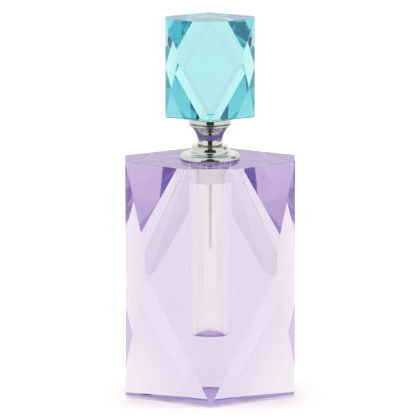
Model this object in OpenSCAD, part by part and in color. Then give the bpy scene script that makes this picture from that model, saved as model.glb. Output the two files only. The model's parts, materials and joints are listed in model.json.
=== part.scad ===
// Cut-crystal perfume bottle: a faceted block with a drilled well, a metal collar
// cemented into its mouth, and a screw-on stopper that carries a glass dauber rod.
// Origin: centre of the base. +Z is up, -Y is the front, X is the bottle's width.

/* [Bottle block] */
// Width over the two narrow side faces
body_w = 67; // [60:0.5:76]
// From the well's axis to the front face
body_front_d = 23.5; // [22:0.5:27]
// From the well's axis to the back face
body_back_d = 30; // [28:0.5:34]
// Height of the block
body_h = 95.5; // [88:0.5:104]
// Width of the front face where its side points lie
front_w = 51.6; // [48:0.2:56]
// Width of the short edge left at the top of the front face
shoulder_edge_w = 20.6; // [16:0.2:24]
// Depth of the narrow side face at the top
side_strip = 13.8; // [11:0.2:16]
// Depth of the narrow side face at the base
side_strip_foot = 6.2; // [4:0.2:9]
// Height of the lower points of the upper corner facets
upper_point_z = 62.5; // [58:0.5:68]
// Height of the upper points of the lower corner facets
lower_point_z = 54; // [46:0.5:57]
// Width of the diamond cut on the back face
diamond_w = 44; // [38:0.5:47]
// Height of the diamond's side points
diamond_side_z = 47; // [42:0.5:52]
// Height of the diamond's top point
diamond_top_z = 86; // [80:0.5:88]
// Height of the diamond's bottom point
diamond_foot_z = 6.5; // [4:0.5:12]

/* [Well] */
// Diameter of the drilled well
well_dia = 16.7; // [15.5:0.1:17.5]
// Height of the well's floor
well_floor_z = 26; // [20:0.5:34]
// Radius between the well's wall and floor
well_corner_r = 1.3; // [0.5:0.1:3]

/* [Collar] */
// Diameter of the collar's flange
flange_dia = 23.7; // [21:0.1:26]
// Thickness of the flange
flange_t = 1.9; // [1.7:0.1:2.2]
// Diameter of the round bead on the flange
bead_dia = 15.3; // [14.5:0.1:17]
// Height of the collar above its gasket
collar_h = 5.1; // [5:0.05:5.6]
// Thickness of the gasket below the flange
gasket_t = 0.4; // [0.3:0.05:0.6]
// Length of the knurled shank in the well
shank_len = 8; // [5:0.5:12]
// Number of ribs round the shank
shank_ribs = 48; // [24:4:72]
// Major diameter of the neck thread
thread_dia = 8.2; // [8:0.05:8.3]
// Bore through the neck
neck_bore_dia = 6.2; // [6:0.05:6.4]

/* [Stopper] */
// Width of the stopper crystal
stopper_w = 35.2; // [30:0.2:42]
// From the stopper's axis to its front face
stopper_front_d = 11.6; // [11:0.2:14]
// From the stopper's axis to its back face
stopper_back_d = 13.2; // [12.8:0.2:16]
// Height of the stopper crystal
stopper_h = 39.8; // [36:0.2:46]
// Width of its front face where its side points lie
stopper_face_w = 25.8; // [23:0.2:28]
// Width of the short edge left at the top of its front face
stopper_edge_w = 11.4; // [9:0.2:14]
// Depth of its narrow side face at the top
stopper_strip = 4.6; // [3.6:0.2:6]
// Depth of its narrow side face at the bottom
stopper_strip_foot = 4; // [3:0.2:5]
// Height of its upper facets' points, as a share of its height
stopper_upper_share = 0.686; // [0.66:0.002:0.72]
// Height of its lower facets' points, as a share of its height
stopper_lower_share = 0.6; // [0.5:0.01:0.64]
// Width of the diamond cut on its back face
stopper_diamond_w = 19.2; // [17:0.2:22]
// Diameter of the seat under the crystal
seat_dia = 17.2; // [16.6:0.1:18]
// Outside diameter of the cup at its narrowest
cup_neck_dia = 10.3; // [10.3:0.1:11]

/* [Dauber] */
// Diameter of the glass rod
rod_dia = 1.8; // [1.4:0.1:2.2]
// Height of the rod's tip above the base
rod_tip_z = 60; // [40:1:80]

/* [Hidden] */
$fn = 96;

eps = 0.01;
far = 400;                 // longer than any cutting block needs to be
press = 0.02;              // radial gap of parts that are pressed or cemented together
run = 0.1;                 // radial gap of parts that turn or slide in each other
face_gap = 0.05;           // gap between flat faces of the stopper and the neck
gasket_clear = 0.05;       // how far the gasket's hole clears the well's wall
flange_round = 1.6;        // how far the flange's rounded rim reaches inwards

// the back cuts
back_land = 10;            // how much wider the back is than its diamond, before the corner cuts
back_foot_share = 0.55;    // where the lower back cuts reach the side, as a share of its depth
stopper_back_land = 4.8;
stopper_tip_share = 0.46;  // heights of the stopper's diamond, as shares of its height
stopper_top_share = 0.9;
stopper_foot_share = 0.028;

// heights of the stack, from the block's top face upwards
collar_z = body_h + gasket_t;
collar_top_z = collar_z + collar_h;
thread_h = 5.8;
neck_top_z = collar_top_z + thread_h;
liner_lip_t = 0.5;
washer_z = neck_top_z + liner_lip_t + face_gap;
washer_t = 0.9;
insert_roof_z = washer_z + washer_t + face_gap;
insert_roof_t = 0.85;
cup_z = collar_top_z + 0.3;
cup_h = 8.4;
rim_extra = 0.12;          // how much thicker the cup's wall is at its rim
seat_z = cup_z + cup_h + 0.1;
seat_t = 2.2;
bond_z = seat_z + seat_t;
bond_t = 0.2;
stopper_z = bond_z + bond_t;

// radii of the stack
stem_r = 4.55;             // neck tube where it passes through the collar
shank_r = well_dia / 2 - run;
rib_depth = 0.25;
liner_r = neck_bore_dia / 2 - press;
liner_bore_r = 2.35;
insert_r = cup_neck_dia / 2 - 0.4;
insert_bore_r = thread_dia / 2 + run;
plug_r = liner_bore_r - run;
plug_stem_r = 1.55;
plug_head_r = 3;
seat_spigot_r = seat_dia / 2 - 0.95;
rod_r = rod_dia / 2;
rod_top_z = insert_roof_z - 0.4;

function unit(v) = v / norm(v);
// points of an arc in the r-z plane, centre c, radius r, from angle a0 to a1
function arc(c, r, a0, a1, n) = bow(c, r, r, a0, a1, n);
// the same with a radius of its own along r and along z
function bow(c, r, rz, a0, a1, n) =
    [for (i = [0:n]) let (a = a0 + (a1 - a0) * i / n) c + [r * cos(a), rz * sin(a)]];

// removes everything beyond the plane through three points, seen from the axis
module cut_beyond(a, b, c) {
    raw = unit(cross(b - a, c - a));
    n = raw * [a[0], a[1], 0] < 0 ? -raw : raw;
    translate(a)
        rotate([0, acos(n[2]), atan2(n[1], n[0])])
            translate([-far / 2, -far / 2, 0]) cube(far);
}

// Cuts on the front of a crystal: a slanting side, an upper and a lower corner on each
// hand. They leave a face with a short edge at the top and a single point at its foot.
module front_cuts(w, h, d, face_w, edge_w, strip, foot_strip, upper_z, lower_z) {
    for (sx = [-1, 1]) {
        x = sx * w / 2;
        side = [sx * face_w / 2, -d];
        cut_beyond([x, -strip / 2, 0], [x, -strip / 2, h], [side[0], side[1], 0]);
        cut_beyond([x, -strip / 2, h], [sx * edge_w / 2, -d, h], [side[0], side[1], upper_z]);
        cut_beyond([x, -foot_strip / 2, 0], [0, -d, 0], [side[0], side[1], lower_z]);
    }
}

// Cuts on the back: the same six, but they leave a whole diamond, and the upper pair and
// the lower pair meet in short ridges above and below it. The lower pair reaches the side
// at foot_y from the axis.
module back_cuts(w, h, d, corner_w, strip, foot_y, tip_w, tip_z, top_z, foot_z) {
    for (sx = [-1, 1]) {
        x = sx * w / 2;
        tip = [sx * tip_w / 2, d, tip_z];
        cut_beyond([x, strip / 2, 0], [x, strip / 2, h], [sx * corner_w / 2, d, 0]);
        cut_beyond([x, strip / 2, h], [0, d, top_z], tip);
        cut_beyond([x, foot_y, 0], [0, d, foot_z], tip);
    }
}

module ring(r_out, r_in, h) {
    difference() {
        cylinder(r = r_out, h = h);
        translate([0, 0, -eps]) cylinder(r = r_in, h = h + 2 * eps);
    }
}

module bottle_block() {
    r = well_dia / 2;
    color("thistle") difference() {
        translate([-body_w / 2, -body_front_d, 0]) cube([body_w, body_front_d + body_back_d, body_h]);
        front_cuts(body_w, body_h, body_front_d, front_w, shoulder_edge_w, side_strip,
                   side_strip_foot, upper_point_z, lower_point_z);
        back_cuts(body_w, body_h, body_back_d, diamond_w + back_land, side_strip,
                  back_foot_share * body_back_d, diamond_w, diamond_side_z, diamond_top_z,
                  diamond_foot_z);
        rotate_extrude() polygon(concat(
            [[0, body_h + 1], [0, well_floor_z]],
            arc([r - well_corner_r, well_floor_z + well_corner_r], well_corner_r, -90, 0, 6),
            [[r, body_h + 1]]));
    }
}

module collar_gasket() {
    color("whitesmoke") translate([0, 0, body_h])
        ring(flange_dia / 2 - flange_round, well_dia / 2 + gasket_clear, gasket_t);
}

// flange with a rounded rim, a hollow step and a tall round-shouldered bead
module collar_ring() {
    step_r = 0.7;          // radius of the hollow between flange and bead
    step_in = 8.4;         // radius where the hollow starts
    bead_z = flange_t + 0.55;
    shoulder = 1.2;        // how far the bead's shoulder reaches inwards
    color("gainsboro") translate([0, 0, collar_z]) rotate_extrude() polygon(concat(
        [[stem_r + press, 0]],
        bow([flange_dia / 2 - flange_round, 0], flange_round, flange_t, 0, 90, 8),
        bow([step_in, flange_t + step_r], step_r, step_r, -90, -165, 5),
        bow([bead_dia / 2 - shoulder, bead_z], shoulder, collar_h - bead_z, 0, 90, 8),
        [[stem_r + press, collar_h]]));
}

// knurled shank in the well, stem through the collar and threaded neck, all one turning
module neck_tube() {
    ribs = [for (i = [0:2 * shank_ribs - 1]) let (a = 180 * i / shank_ribs)
            (shank_r - (i % 2) * rib_depth) * [cos(a), sin(a)]];
    cavity_r = 6.4;
    color("silver") difference() {
        union() {
            translate([0, 0, body_h - shank_len]) linear_extrude(shank_len) polygon(ribs);
            translate([0, 0, body_h - eps])
                cylinder(r = stem_r, h = collar_top_z - 0.2 - body_h + eps);
            translate([0, 0, collar_top_z - 0.2 - eps])
                cylinder(r = thread_dia / 2, h = neck_top_z - collar_top_z + 0.2 + eps);
        }
        translate([0, 0, body_h - shank_len - 1]) cylinder(r = cavity_r, h = shank_len - 1);
        translate([0, 0, body_h - shank_len]) cylinder(r = neck_bore_dia / 2, h = far);
    }
}

// soft sleeve that lines the neck and turns over its top as a lip
module neck_liner() {
    foot_z = body_h - 1.5;
    color("white") rotate_extrude() polygon([
        [liner_bore_r, foot_z], [liner_r, foot_z], [liner_r, neck_top_z],
        [thread_dia / 2, neck_top_z], [thread_dia / 2, neck_top_z + liner_lip_t],
        [liner_bore_r, neck_top_z + liner_lip_t]]);
}

module seal_washer() {
    color("ghostwhite") translate([0, 0, washer_z]) ring(thread_dia / 2, plug_r + 0.2, washer_t);
}

// flared shell: a short skirt that opens in a hollow curve to a rolled rim
module stopper_cup() {
    r0 = cup_neck_dia / 2;
    rim_r = seat_dia / 2 - 0.1;
    skirt_h = 0.7;
    roll_r = 0.6;
    flare_h = cup_h - skirt_h - 2 * roll_r;
    flare_r = rim_r - roll_r - r0;
    wall = r0 - insert_r - press;
    steps = 10;
    flare_power = 2.5;     // how late the flare opens
    // hollow side outwards, and the wall thickens towards the rim
    outer = [for (i = [0:steps]) let (t = i / steps)
             [r0 + flare_r * pow(t, flare_power), skirt_h + flare_h * t]];
    inner = [for (i = [steps:-1:0]) let (t = i / steps) outer[i] + [-wall - rim_extra * t, 0.1 * t]];
    color("gainsboro") translate([0, 0, cup_z]) rotate_extrude() polygon(concat(
        [[r0 - wall, 0]],
        arc([r0 - 0.25, 0.25], 0.25, -90, 0, 4),
        outer,
        arc([rim_r - roll_r, cup_h - roll_r], roll_r, -60, 90, 8),
        [[seat_spigot_r + press, cup_h], [seat_spigot_r + press, cup_h - 1]],
        inner));
}

// female-threaded lining pressed into the cup, closed by a roof with a hole for the plug
module thread_insert() {
    foot_z = cup_z + 0.4;
    color("white") difference() {
        translate([0, 0, foot_z]) cylinder(r = insert_r, h = insert_roof_z + insert_roof_t - foot_z);
        translate([0, 0, foot_z - 1]) cylinder(r = insert_bore_r, h = insert_roof_z - foot_z + 1);
        cylinder(r = plug_stem_r + press, h = far);
    }
}

// polished disc with a spigot that closes the cup and carries the crystal
module seat_disc() {
    edge_r = 0.25;
    r = seat_dia / 2;
    spigot_h = 0.6;
    color("gainsboro") translate([0, 0, seat_z]) rotate_extrude() polygon(concat(
        [[plug_head_r + 0.3, -spigot_h], [seat_spigot_r, -spigot_h], [seat_spigot_r, 0]],
        arc([r - edge_r, edge_r], edge_r, -90, 0, 4),
        arc([r - edge_r, seat_t - edge_r], edge_r, 0, 90, 4),
        [[0, seat_t], [0, spigot_h], [plug_head_r + 0.3, spigot_h]]));
}

// soft plug that closes the neck: cone, body, stem through the insert's roof and head
module dauber_plug() {
    roof_top_z = insert_roof_z + insert_roof_t;
    body_z = neck_top_z - 4;
    color("white") difference() {
        rotate_extrude() polygon([
            [0, body_z - 2.5], [rod_r + 0.45, body_z - 2.5], [plug_r, body_z],
            [plug_r, insert_roof_z], [plug_stem_r, insert_roof_z], [plug_stem_r, roof_top_z],
            [plug_head_r, roof_top_z], [plug_head_r, roof_top_z + 0.6], [0, roof_top_z + 0.6]]);
        translate([0, 0, body_z - 3]) cylinder(r = rod_r + press, h = rod_top_z + press - body_z + 3);
    }
}

module dauber_rod() {
    color("azure") rotate_extrude() polygon(concat(
        arc([0, rod_tip_z + rod_r], rod_r, -90, 0, 8),
        [[rod_r, rod_top_z], [0, rod_top_z]]));
}

module stopper_bond() {
    color("lightcyan") translate([0, 0, bond_z]) cylinder(r = seat_dia / 2 - 0.5, h = bond_t);
}

module stopper_crystal() {
    w = stopper_w;
    h = stopper_h;
    d = stopper_back_d;
    color("mediumturquoise") translate([0, 0, stopper_z]) difference() {
        translate([-w / 2, -stopper_front_d, 0]) cube([w, stopper_front_d + d, h]);
        front_cuts(w, h, stopper_front_d, stopper_face_w, stopper_edge_w, stopper_strip,
                   stopper_strip_foot, stopper_upper_share * h, stopper_lower_share * h);
        back_cuts(w, h, d, stopper_diamond_w + stopper_back_land, stopper_strip,
                  stopper_strip_foot / 2, stopper_diamond_w, stopper_tip_share * h,
                  stopper_top_share * h, stopper_foot_share * h);
    }
}

bottle_block();
collar_gasket();
collar_ring();
neck_tube();
neck_liner();
seal_washer();
stopper_cup();
thread_insert();
seat_disc();
dauber_plug();
dauber_rod();
stopper_bond();
stopper_crystal();
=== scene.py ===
import json
import math

import bmesh
import bpy
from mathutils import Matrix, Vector


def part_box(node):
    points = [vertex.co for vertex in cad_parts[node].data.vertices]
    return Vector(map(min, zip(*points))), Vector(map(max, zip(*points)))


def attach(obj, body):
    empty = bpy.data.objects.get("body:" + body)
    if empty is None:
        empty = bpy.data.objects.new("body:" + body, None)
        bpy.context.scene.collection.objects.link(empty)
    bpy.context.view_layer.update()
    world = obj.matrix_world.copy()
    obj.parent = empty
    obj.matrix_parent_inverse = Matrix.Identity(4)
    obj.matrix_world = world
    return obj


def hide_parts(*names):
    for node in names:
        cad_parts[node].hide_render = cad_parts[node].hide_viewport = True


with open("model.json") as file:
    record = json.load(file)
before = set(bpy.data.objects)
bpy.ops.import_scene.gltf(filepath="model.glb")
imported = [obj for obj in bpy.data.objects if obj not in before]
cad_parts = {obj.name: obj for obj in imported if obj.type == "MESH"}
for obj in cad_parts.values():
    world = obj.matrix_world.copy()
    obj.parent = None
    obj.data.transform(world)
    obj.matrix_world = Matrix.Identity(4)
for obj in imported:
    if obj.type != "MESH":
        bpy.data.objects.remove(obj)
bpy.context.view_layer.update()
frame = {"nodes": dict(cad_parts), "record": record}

MM = 0.001
NODES = frame["nodes"]
scene = bpy.context.scene


# ---------------------------------------------------------------- helpers

def new_object(name, mesh):
    obj = bpy.data.objects.new(name, mesh)
    scene.collection.objects.link(obj)
    return obj


def mesh_object(name, verts, faces):
    mesh = bpy.data.meshes.new(name)
    mesh.from_pydata([Vector(v) for v in verts], [], faces)
    mesh.validate()
    mesh.update()
    return new_object(name, mesh)


def shade(obj, degrees):
    for poly in obj.data.polygons:
        poly.use_smooth = True
    obj.data.set_sharp_from_angle(angle=math.radians(degrees))


def set_material(obj, mat):
    obj.data.materials.clear()
    obj.data.materials.append(mat)


def top_z(node):
    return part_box(node)[1].z


def foot_z(node):
    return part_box(node)[0].z


def outer_r(node):
    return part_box(node)[1].x


# ---------------------------------------------------------------- materials

def material(name):
    mat = bpy.data.materials.new(name)
    mat.use_nodes = True
    tree = mat.node_tree
    return mat, tree, tree.nodes["Principled BSDF"]


def noise(tree, scale, detail=3.0):
    coord = tree.nodes.new("ShaderNodeTexCoord")
    tex = tree.nodes.new("ShaderNodeTexNoise")
    tex.inputs["Scale"].default_value = scale
    tex.inputs["Detail"].default_value = detail
    tree.links.new(coord.outputs["Object"], tex.inputs["Vector"])
    return tex.outputs["Fac"]


def ramp(tree, fac, dark, light):
    node = tree.nodes.new("ShaderNodeValToRGB")
    node.color_ramp.elements[0].position = 0.3
    node.color_ramp.elements[1].position = 0.7
    node.color_ramp.elements[0].color = (*dark, 1)
    node.color_ramp.elements[1].color = (*light, 1)
    tree.links.new(fac, node.inputs["Fac"])
    return node.outputs["Color"]


def spread(tree, fac, low, high):
    node = tree.nodes.new("ShaderNodeMapRange")
    node.inputs["To Min"].default_value = low
    node.inputs["To Max"].default_value = high
    tree.links.new(fac, node.inputs["Value"])
    return node.outputs["Result"]


def bump(tree, bsdf, fac, height):
    node = tree.nodes.new("ShaderNodeBump")
    node.inputs["Distance"].default_value = height
    tree.links.new(fac, node.inputs["Height"])
    tree.links.new(node.outputs["Normal"], bsdf.inputs["Normal"])


def crystal_glass(name, colour, density, dark, light, rough=0.0, clear=1.0):
    """Clear cut glass whose tint is all in its depth, with a faint random unevenness in its surface
    tone.
    """
    mat, tree, bsdf = material(name)
    bsdf.inputs["Transmission Weight"].default_value = clear
    bsdf.inputs["Roughness"].default_value = rough
    bsdf.inputs["IOR"].default_value = 1.5
    tone = ramp(tree, noise(tree, 60.0), dark, light)
    tree.links.new(tone, bsdf.inputs["Base Color"])
    depth = tree.nodes.new("ShaderNodeVolumeAbsorption")
    depth.inputs["Color"].default_value = (*colour, 1)
    depth.inputs["Density"].default_value = density
    out = tree.nodes["Material Output"]
    tree.links.new(depth.outputs["Volume"], out.inputs["Volume"])
    return mat


def rod_glass_with_painted_highlight(name):
    """Glass for the thin rod, partly white as a painted highlight, so that it shows as a bright
    line against a pale background.
    """
    mat, tree, bsdf = material(name)
    # Painted highlight: only 0.4 transmission, the rest diffuse near-white, so the clear rod shows
    # as a bright line.
    bsdf.inputs["Transmission Weight"].default_value = 0.4
    bsdf.inputs["Roughness"].default_value = 0.1
    bsdf.inputs["IOR"].default_value = 1.47
    tone = ramp(tree, noise(tree, 400.0), (0.88, 0.90, 0.91), (0.94, 0.95, 0.96))
    tree.links.new(tone, bsdf.inputs["Base Color"])
    return mat


def metal(name, dark, light, rough_low, rough_high):
    mat, tree, bsdf = material(name)
    bsdf.inputs["Metallic"].default_value = 1.0
    fac = noise(tree, 90.0, 4.0)
    tree.links.new(ramp(tree, fac, dark, light), bsdf.inputs["Base Color"])
    tree.links.new(spread(tree, fac, rough_low, rough_high), bsdf.inputs["Roughness"])
    return mat


def plastic(name, dark, light, rough, clear=0.0):
    mat, tree, bsdf = material(name)
    bsdf.inputs["Transmission Weight"].default_value = clear
    bsdf.inputs["IOR"].default_value = 1.45
    fac = noise(tree, 200.0)
    tree.links.new(ramp(tree, fac, dark, light), bsdf.inputs["Base Color"])
    tree.links.new(spread(tree, fac, rough - 0.05, rough + 0.05), bsdf.inputs["Roughness"])
    bump(tree, bsdf, noise(tree, 1200.0), 0.02 * MM)
    return mat


LAVENDER = (0.32, 0.02, 0.68)
LAVENDER_DENSITY = 8.0
TURQUOISE = (0.0, 0.765, 0.845)
TURQUOISE_DENSITY = 33.0


def make_materials():
    return {
        "lavender_crystal": crystal_glass("lavender_crystal", LAVENDER, LAVENDER_DENSITY,
                                          (0.985, 0.98, 0.945), (1.0, 1.0, 0.965)),
        "ground_crystal": crystal_glass("ground_crystal", LAVENDER, LAVENDER_DENSITY,
                                        (0.80, 0.70, 0.99), (0.86, 0.76, 1.0), rough=0.5,
                                        clear=0.35),
        "turquoise_crystal": crystal_glass("turquoise_crystal", TURQUOISE, TURQUOISE_DENSITY,
                                           (0.98, 0.94, 0.93), (1.0, 0.965, 0.955)),
        "chrome_plate": metal("chrome_plate", (0.57, 0.58, 0.565), (0.63, 0.64, 0.625), 0.01, 0.03),
        "neck_metal": metal("neck_metal", (0.90, 0.89, 0.88), (0.96, 0.95, 0.94), 0.4, 0.5),
        "white_plastic": plastic("white_plastic", (0.86, 0.86, 0.84), (0.93, 0.93, 0.92), 0.4),
        "clear_rubber": plastic("clear_rubber", (0.84, 0.84, 0.85), (0.92, 0.92, 0.93), 0.35,
                                clear=0.6),
        "rod_glass": rod_glass_with_painted_highlight("rod_glass"),
        "clear_adhesive": plastic("clear_adhesive", (0.9, 0.94, 0.95), (0.97, 0.99, 1.0), 0.12,
                                  clear=0.9),
    }


# ---------------------------------------------------------------- crystals

def joined(node):
    """The node's mesh as a closed bmesh of whole flat facets."""
    bm = bmesh.new()
    bm.from_mesh(NODES[node].data)
    bmesh.ops.remove_doubles(bm, verts=bm.verts, dist=2e-6)
    bmesh.ops.dissolve_limit(bm, angle_limit=math.radians(0.3), verts=bm.verts,
                             edges=bm.edges, use_dissolve_boundaries=False)
    bmesh.ops.recalc_face_normals(bm, faces=bm.faces)
    return bm


def even_bore(bm, in_bore):
    """Splits the long strips of the well's wall near both ends, so its shading runs straight."""
    wall = [f for f in bm.faces if all(in_bore(v) for v in f.verts) and abs(f.normal.z) < 0.05]
    heights = [v.co.z for f in wall for v in f.verts]
    for z in (min(heights) + 0.4 * MM, max(heights) - 0.4 * MM):
        wall = [f for f in bm.faces
                if all(in_bore(v) for v in f.verts) and abs(f.normal.z) < 0.05]
        geom = wall + list({e for f in wall for e in f.edges} | {v for f in wall for v in f.verts})
        bmesh.ops.bisect_plane(bm, geom=geom, plane_co=(0, 0, z), plane_no=(0, 0, 1))


def round_bore(bm, in_bore):
    """Three times as many columns round the well, all on its true circle."""
    rings = [e for e in bm.edges
             if all(in_bore(v) for v in e.verts)
             and abs(e.verts[0].co.z - e.verts[1].co.z) < 1e-6]
    radius = {}
    for e in rings:
        for v in e.verts:
            radius[round(v.co.z, 6)] = math.hypot(v.co.x, v.co.y)
    made = bmesh.ops.subdivide_edges(bm, edges=rings, cuts=2, use_grid_fill=True)
    for v in made["geom_inner"]:
        if isinstance(v, bmesh.types.BMVert):
            scale = radius[round(v.co.z, 6)] / math.hypot(v.co.x, v.co.y)
            v.co.x *= scale
            v.co.y *= scale


def sharp_edges(bm, keep):
    """The edges between facets, of those that keep() lets through."""
    return [e for e in bm.edges
            if len(e.link_faces) == 2 and e.calc_face_angle() > math.radians(4) and keep(e)]


def cut_crystal(node, name, body, edge, foot_edge, bore_r=0.0):
    """A crystal block as it is cut: flat facets whose edges are just blunted, a chamfer round
    the base, and a smooth well."""
    bm = joined(node)
    foot = foot_z(node)

    def in_bore(vert):
        return math.hypot(vert.co.x, vert.co.y) < bore_r + 0.2 * MM

    def at_foot(e):
        return all(v.co.z < foot + 0.01 * MM for v in e.verts)

    def on_facets(e):
        above_chamfer = max(v.co.z for v in e.verts) > foot + 2 * foot_edge
        return above_chamfer and not at_foot(e) and not all(in_bore(v) for v in e.verts)

    bmesh.ops.bevel(bm, geom=sharp_edges(bm, at_foot), offset=foot_edge, offset_type="OFFSET",
                    segments=1, profile=0.5, affect="EDGES", clamp_overlap=True)
    bmesh.ops.bevel(bm, geom=sharp_edges(bm, on_facets), offset=edge, offset_type="OFFSET",
                    segments=2, profile=0.5, affect="EDGES", clamp_overlap=True)
    if bore_r:
        even_bore(bm, in_bore)
        round_bore(bm, in_bore)
    for face in bm.faces:
        face.smooth = all(in_bore(v) for v in face.verts)
    for e in bm.edges:
        if len(e.link_faces) == 2:
            both = all(f.smooth for f in e.link_faces)
            e.smooth = both and e.calc_face_angle() < math.radians(40)
    mesh = bpy.data.meshes.new(name)
    bm.to_mesh(mesh)
    bm.free()
    obj = new_object(name, mesh)
    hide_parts(node)
    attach(obj, body)
    return obj


def grind_base(obj, mat):
    """Gives the flat face the crystal rests on its own finish."""
    obj.data.materials.append(mat)
    for poly in obj.data.polygons:
        if poly.normal.z < -0.99 and poly.center.z < MM:
            poly.material_index = len(obj.data.materials) - 1


# ---------------------------------------------------------------- threaded neck

THREAD_PITCH = 2.0 * MM
THREAD_DEPTH = 0.4 * MM
THREAD_END = 0.4 * THREAD_PITCH     # length over which the thread runs out at the top
COLUMNS = 192                       # points round every turned piece


def thread_radius(angle, z, crest, z0, z1):
    """Radius of a rounded right-hand thread that fades out at both ends."""
    turn = ((z - z0) / THREAD_PITCH - angle / (2 * math.pi)) % 1.0
    wave = 0.5 + 0.5 * math.cos(2 * math.pi * turn)
    wave = min(1.0, 1.5 * wave)
    fade = min(1.0, (z - z0) / THREAD_PITCH, (z1 - z) / THREAD_END)
    return crest - THREAD_DEPTH + THREAD_DEPTH * wave * max(0.0, fade)


def threaded_neck():
    """Knurled shank that touches the well's wall, stem, threaded neck and stepped bore, as one
    skin of rings."""
    z_foot, z_top = foot_z("neck_tube"), top_z("neck_tube")
    z_block = top_z("bottle_block")
    z_thread = top_z("collar_ring") - 0.2 * MM
    shank = outer_r("neck_tube") + 0.11 * MM
    stem = 4.55 * MM
    crest = 4.1 * MM
    bore = 3.1 * MM
    cavity = 6.4 * MM
    cavity_top = z_block - 1.0 * MM
    ribs, rib_depth = 48, 0.25 * MM
    rows = 56
    rings = []

    def ring(z, radius):
        rings.append((z, radius))

    def knurl(angle):
        phase = (angle * ribs / (2 * math.pi)) % 1.0
        return shank - rib_depth * max(0.0, 1 - 4 * min(phase, 1 - phase))

    ring(z_foot, knurl)
    ring(z_block, knurl)
    ring(z_block, lambda a: stem)
    ring(z_thread, lambda a: stem)
    for i in range(rows + 1):
        z = z_thread + (z_top - z_thread) * i / rows
        ring(z, lambda a, z=z: thread_radius(a, z, crest, z_thread, z_top))
    ring(z_top, lambda a: bore)
    ring(cavity_top, lambda a: bore)
    ring(cavity_top, lambda a: cavity)
    ring(z_foot, lambda a: cavity)
    verts, faces = [], []
    for z, radius in rings:
        for c in range(COLUMNS):
            a = 2 * math.pi * c / COLUMNS
            verts.append((radius(a) * math.cos(a), radius(a) * math.sin(a), z))
    for i in range(len(rings)):
        j = (i + 1) % len(rings)
        for c in range(COLUMNS):
            d = (c + 1) % COLUMNS
            faces.append((i * COLUMNS + c, i * COLUMNS + d, j * COLUMNS + d, j * COLUMNS + c))
    obj = mesh_object("threaded_neck", verts, faces)
    shade(obj, 35)
    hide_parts("neck_tube")
    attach(obj, "bottle")
    return obj


# ---------------------------------------------------------------- turned pieces

def bow(r, z, reach, rise, start, end, steps):
    """Points of an arc about (r, z), with its own radius along r and along z, in mm."""
    points = []
    for i in range(steps + 1):
        a = math.radians(start + (end - start) * i / steps)
        points.append((r + reach * math.cos(a), z + rise * math.sin(a)))
    return points


def turned(name, node, body, profile, mat_slot="chrome_plate", lift=0.0):
    """A turned piece from a closed profile of (radius, height above foot) in mm."""
    base = foot_z(node) + (lift - min(z for r, z in profile)) * MM
    n = len(profile)
    verts, faces = [], []
    for r, z in profile:
        for c in range(COLUMNS):
            a = 2 * math.pi * c / COLUMNS
            verts.append((r * MM * math.cos(a), r * MM * math.sin(a), base + z * MM))
    for i in range(n):
        j = (i + 1) % n
        if profile[i][0] == 0 and profile[j][0] == 0:
            continue
        for c in range(COLUMNS):
            d = (c + 1) % COLUMNS
            faces.append((i * COLUMNS + c, i * COLUMNS + d, j * COLUMNS + d, j * COLUMNS + c))
    obj = mesh_object(name, verts, faces)
    bm = bmesh.new()
    bm.from_mesh(obj.data)
    bmesh.ops.remove_doubles(bm, verts=bm.verts, dist=1e-7)
    bmesh.ops.recalc_face_normals(bm, faces=bm.faces)
    bm.to_mesh(obj.data)
    bm.free()
    shade(obj, 32)
    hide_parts(node)
    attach(obj, body)
    set_material(obj, mats[mat_slot])
    return obj


def collar():
    """Flange with a rounded rim, a hollow step and a tall round-shouldered bead."""
    flange, bead, stem = 11.85, 7.65, 4.57
    thick, height = 1.9, 5.1
    rim, shoulder = 1.6, 1.2
    step, step_at = 0.7, 8.4
    bead_z = thick + 0.55
    profile = [(stem, 0)]
    profile += bow(flange - rim, 0, rim, thick, 0, 90, 20)
    profile += bow(step_at, thick + step, step, step, -90, -165, 12)
    profile += bow(bead - shoulder, bead_z, shoulder, height - bead_z, 0, 90, 24)
    profile.append((stem, height))
    return turned("turned_collar", "collar_ring", "bottle", profile)


def cup():
    """Flared shell with a rolled rim."""
    neck, rim, height = 5.15, 8.5, 8.4
    skirt, roll, foot_round = 0.7, 0.6, 0.25
    wall, rim_extra = 0.38, 0.12
    mouth, mouth_depth = 7.67, 1.0
    steps, flare_power = 40, 2.5
    outer, inner = [], []
    for i in range(steps + 1):
        t = i / steps
        r = neck + (rim - roll - neck) * t ** flare_power
        z = skirt + (height - skirt - 2 * roll) * t
        outer.append((r, z))
        inner.append((r - wall - rim_extra * t, z + 0.1 * t))
    profile = [(neck - wall, 0)]
    profile += bow(neck - foot_round, foot_round, foot_round, foot_round, -90, 0, 8) + outer
    profile += bow(rim - roll, height - roll, roll, roll, -60, 90, 20)
    profile += [(mouth, height), (mouth, height - mouth_depth)] + inner[::-1]
    return turned("flared_cup", "stopper_cup", "stopper", profile)


def seat():
    """Polished disc with a well-rounded edge and a spigot into the cup."""
    r, edge, thick = 8.6, 0.55, 2.2
    spigot_r, spigot = 7.65, 0.6
    pocket_r, pocket = 3.3, 0.6
    profile = [(pocket_r, -spigot), (spigot_r, -spigot), (spigot_r, 0)]
    profile += bow(r - edge, edge, edge, edge, -90, 0, 12)
    profile += bow(r - edge, thick - edge, edge, edge, 0, 90, 12)
    profile += [(0, thick), (0, pocket), (pocket_r, pocket)]
    return turned("turned_seat", "seat_disc", "stopper", profile)


def film(name, node, body, mat_slot, hole, rim):
    """A flat ring or disc that stays a hair clear of the faces above and below it."""
    gap = 0.03
    thick = (top_z(node) - foot_z(node)) / MM - 2 * gap
    profile = [(hole, 0), (rim, 0), (rim, thick), (hole, thick)]
    return turned(name, node, body, profile, mat_slot, gap)


# ---------------------------------------------------------------- stage

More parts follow.
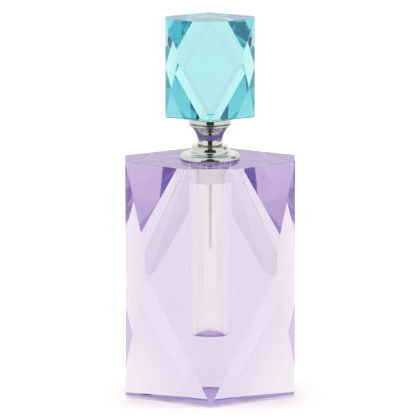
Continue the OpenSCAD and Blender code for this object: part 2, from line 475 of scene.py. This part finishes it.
def floor_material():
    mat, tree, bsdf = material("floor")
    tone = ramp(tree, noise(tree, 3.0), (0.90, 0.90, 0.90), (0.915, 0.915, 0.915))
    tree.links.new(tone, bsdf.inputs["Base Color"])
    bsdf.inputs["Roughness"].default_value = 0.9
    bsdf.inputs["Specular IOR Level"].default_value = 0.1
    bsdf.inputs["Emission Color"].default_value = (1, 0.98, 0.82, 1)
    bsdf.inputs["Emission Strength"].default_value = 0.18
    return mat


def card_material(name, tone):
    mat, tree, bsdf = material(name)
    dark = tuple(0.9 * c for c in tone)
    tree.links.new(ramp(tree, noise(tree, 2.0), dark, tone), bsdf.inputs["Base Color"])
    bsdf.inputs["Roughness"].default_value = 1.0
    bsdf.inputs["Specular IOR Level"].default_value = 0.0
    return mat


def make_floor():
    size = 6.0
    z = -0.4 * MM
    floor = mesh_object("floor", [(-size, -size, z), (size, -size, z), (size, size, z),
                                  (-size, size, z)], [(0, 1, 2, 3)])
    set_material(floor, floor_material())
    return floor


def on_dome(distance, side_deg, up_deg):
    """A point that far from the bottle, side_deg to the right of its front, up_deg high."""
    a = math.radians(side_deg)
    rise = distance * math.tan(math.radians(up_deg))
    return Vector((distance * math.sin(a), -distance * math.cos(a), rise))


def make_card(name, distance, low, high, tone):
    """A studio panel round the bottle; low and high are (from, to, up) angles in degrees."""
    steps = 6
    rows = []
    for start, end, up in (low, high):
        rows.append([on_dome(distance, start + (end - start) * i / steps, up)
                     for i in range(steps + 1)])
    n = steps + 1
    faces = [(i, i + 1, n + i + 1, n + i) for i in range(steps)]
    card = mesh_object(name, rows[0] + rows[1], faces)
    set_material(card, card_material(name, tone))
    return card


def only_in_reflections(card):
    """A flag that darkens the highlights and leaves the backdrop and the glass alone."""
    card.visible_camera = False
    card.visible_diffuse = False
    card.visible_transmission = False
    card.visible_shadow = False


def make_strip(name, near, far, side_deg, tone):
    """A runner on the floor in front of the bottle, side_deg wide to each side."""
    z = -0.2 * MM
    k = math.tan(math.radians(side_deg))
    strip = mesh_object(name, [(-near * k, -near, z), (near * k, -near, z), (far * k, -far, z),
                               (-far * k, -far, z)], [(0, 3, 2, 1)])
    set_material(strip, card_material(name, tone))
    return strip


def make_world():
    world = bpy.data.worlds.new("studio")
    scene.world = world
    world.use_nodes = True
    back = world.node_tree.nodes["Background"]
    back.inputs["Color"].default_value = (1.0, 0.99, 0.95, 1)
    back.inputs["Strength"].default_value = 1.07


def make_camera():
    distance = 2.314
    elevation = math.radians(11.105)
    turn = math.radians(0.843)
    aim = Vector((0, 0, 0.07466))
    data = bpy.data.cameras.new("camera")
    data.sensor_width = 36
    data.lens = 501.2
    data.clip_end = 50
    cam = bpy.data.objects.new("camera", data)
    scene.collection.objects.link(cam)
    level = distance * math.cos(elevation)
    cam.location = aim + Vector((-level * math.sin(turn), -level * math.cos(turn),
                                 distance * math.sin(elevation)))
    cam.rotation_euler = (math.pi / 2 - elevation, 0, -turn)
    scene.camera = cam


def make_stage():
    floor = make_floor()
    dark = (0.06, 0.048, 0.034)
    flags = [
        make_card("front_flag", 2.8, (-37, 37, 4), (-33, 33, 33), dark),
        make_card("front_flag_top", 2.8, (-20, 20, 33), (-17, 17, 74), dark),
        make_strip("front_runner", 0.07, 2.8, 20, dark),
    ]
    for flag in flags:
        only_in_reflections(flag)
    panels = [
        make_card("back_right_panel", 3.2, (100, 130, 10), (100, 130, 40), (0.34, 0.38, 0.45)),
    ]
    for panel in panels:
        panel.visible_camera = False


def render_settings():
    cycles = scene.cycles
    cycles.max_bounces = 32
    cycles.transmission_bounces = 32
    cycles.glossy_bounces = 16
    cycles.diffuse_bounces = 4
    cycles.blur_glossy = 0.0
    scene.view_settings.view_transform = "Standard"


# ---------------------------------------------------------------- build

mats = make_materials()
for part in frame["record"]["subparts"]:
    set_material(NODES[part["node"]], mats[part["material_slot"]])

block = cut_crystal("bottle_block", "bottle_crystal", "bottle",
                    0.07 * MM, 0.5 * MM, bore_r=8.35 * MM)
set_material(block, mats["lavender_crystal"])
grind_base(block, mats["ground_crystal"])
knob = cut_crystal("stopper_crystal", "stopper_knob", "stopper",
                   0.06 * MM, 0.2 * MM)
set_material(knob, mats["turquoise_crystal"])
neck = threaded_neck()
set_material(neck, mats["neck_metal"])
collar()
cup()
seat()
film("gasket_ring", "collar_gasket", "bottle", "clear_rubber", 8.45, 10.2)
film("cement_film", "stopper_bond", "stopper", "clear_adhesive", 0, 8.05)

make_world()
make_stage()
make_camera()
render_settings()
